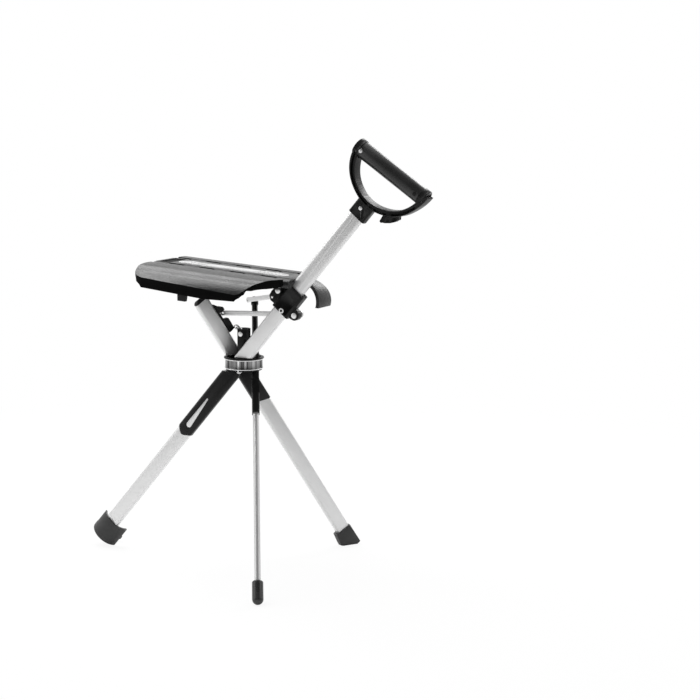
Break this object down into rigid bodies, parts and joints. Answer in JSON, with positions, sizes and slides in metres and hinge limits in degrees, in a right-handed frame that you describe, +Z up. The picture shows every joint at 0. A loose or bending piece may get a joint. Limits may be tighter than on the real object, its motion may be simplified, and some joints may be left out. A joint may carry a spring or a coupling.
{
  "type": "walking stick seat",
  "caption": "Walking stick that folds open into a three-legged seat: sliding collar, hinged seat wings, D-shaped handle and a hub joining the legs.",
  "frame": {"origin": "centre of the bounding box at floor level, in the open (seat) pose", "axes": "+Z up, +X from the front end of the seat towards the handle, +Y from the near side in the picture to the far side"},
  "size_m": [0.6412, 0.447, 0.7204],
  "materials": {
    "black_plastic": "matt, slightly reflecting moulded plastic",
    "grey_plastic": "fine grained light grey moulded plastic",
    "wing_plastic": "fine grained moulded black plastic with a soft sheen",
    "grip_soft": "soft matt grip",
    "foot_rubber": "matt moulded rubber",
    "satin_aluminium": "satin anodised",
    "bright_band": "polished",
    "bright_steel": "bright",
    "dark_metal": "satin black"
  },
  "bodies": {
    "hub": {"hub_body": "black_plastic", "hub_pivot_pins": "bright_steel", "ring_band": "bright_band", "hub_flange": "black_plastic", "hub_post": "black_plastic", "post_rivet": "bright_steel"},
    "pole": {"pole_connector": "black_plastic", "pole_upper_tube": "satin_aluminium", "pole_lower_tube": "satin_aluminium", "pole_sleeve": "black_plastic", "sleeve_window": "bright_steel", "cup_foot": "foot_rubber", "handle_frame": "black_plastic", "handle_grip": "grip_soft", "handle_screws": "bright_steel"},
    "leg": {"leg_connector": "black_plastic", "leg_upper_tube": "satin_aluminium", "leg_cap": "black_plastic", "leg_sleeve": "black_plastic", "leg_lower_tube": "satin_aluminium", "wedge_foot": "foot_rubber", "leg_bracket": "black_plastic"},
    "rod": {"rod_connector": "black_plastic", "rod_upper": "dark_metal", "rod_cap": "black_plastic", "rod_socket": "black_plastic", "rod_lower": "satin_aluminium", "rod_foot": "foot_rubber"},
    "collar": {"collar": "black_plastic", "seat_rivet": "bright_steel", "link_rivet": "bright_steel", "link_stud": "bright_steel", "collar_eyelet": "bright_steel"},
    "seat": {"seat_panel": "black_plastic", "inlay_strip": "grey_plastic", "wing_hinge_pins": "bright_steel"},
    "near_wing": {"near_wing": "wing_plastic", "wing_clip": "bright_steel"},
    "far_wing": {"far_wing": "wing_plastic"},
    "link_leg": {"link_leg": "satin_aluminium"},
    "link_rod": {"link_rod": "satin_aluminium"},
    "toggle_link": {"toggle_link": "bright_steel"}
  },
  "joints": [
    {"name": "pole_hinge", "type": "hinge", "parent": "hub", "child": "pole", "pos_m": [-0.02255, -0.02136, 0.3437], "axis": [0, -1, 0], "range_deg": [0, 40.4]},
    {"name": "leg_hinge", "type": "hinge", "parent": "hub", "child": "leg", "pos_m": [-0.039, 0.00714, 0.3437], "axis": [-0.866, 0.5, 0], "range_deg": [0, 34.03]},
    {"name": "rod_hinge", "type": "hinge", "parent": "hub", "child": "rod", "pos_m": [-0.00609, 0.00714, 0.3437], "axis": [0.866, 0.5, 0], "range_deg": [0, 37.43]},
    {"name": "collar_slide", "type": "slide", "parent": "pole", "child": "collar", "axis": [0.6481, 0, 0.7615], "range_m": [0, 0.10108]},
    {"name": "seat_hinge", "type": "hinge", "parent": "collar", "child": "seat", "pos_m": [0.05659, -0.00236, 0.47187], "axis": [0, -1, 0], "range_deg": [0, 53.45]},
    {"name": "near_wing_hinge", "type": "hinge", "parent": "seat", "child": "near_wing", "pos_m": [0.05752, -0.03836, 0.48584], "axis": [0.9978, 0, -0.0663], "range_deg": [0, 89.07]},
    {"name": "far_wing_hinge", "type": "hinge", "parent": "seat", "child": "far_wing", "pos_m": [0.05752, 0.03364, 0.48584], "axis": [-0.9978, 0, 0.0663], "range_deg": [0, 89.07]},
    {"name": "link_leg_hinge", "type": "hinge", "parent": "collar", "child": "link_leg", "pos_m": [0.08475, -0.00686, 0.43228], "axis": [0.0862, -0.7758, -0.625], "range_deg": [0, 35.77]},
    {"name": "link_rod_hinge", "type": "hinge", "parent": "collar", "child": "link_rod", "pos_m": [0.04396, -0.00686, 0.46043], "axis": [-0.5843, -0.7713, 0.2523], "range_deg": [0, 38.59]},
    {"name": "toggle_hinge", "type": "hinge", "parent": "hub", "child": "toggle_link", "pos_m": [-0.02255, -0.00236, 0.3932], "axis": [0, 1, 0], "range_deg": [0, 79.47]}
  ],
  "couplings": [
    {"joint": "leg_hinge", "follows": "pole_hinge", "ratio": 0.84158},
    {"joint": "rod_hinge", "follows": "pole_hinge", "ratio": 0.92574},
    {"joint": "collar_slide", "follows": "pole_hinge", "m_per_rad": 0.14324},
    {"joint": "seat_hinge", "follows": "pole_hinge", "ratio": 1.3218},
    {"joint": "near_wing_hinge", "follows": "pole_hinge", "ratio": 2.203},
    {"joint": "far_wing_hinge", "follows": "pole_hinge", "ratio": 2.203},
    {"joint": "link_leg_hinge", "follows": "pole_hinge", "ratio": 0.88461},
    {"joint": "link_rod_hinge", "follows": "pole_hinge", "ratio": 0.95436},
    {"joint": "toggle_hinge", "follows": "pole_hinge", "ratio": 1.9653}
  ]
}
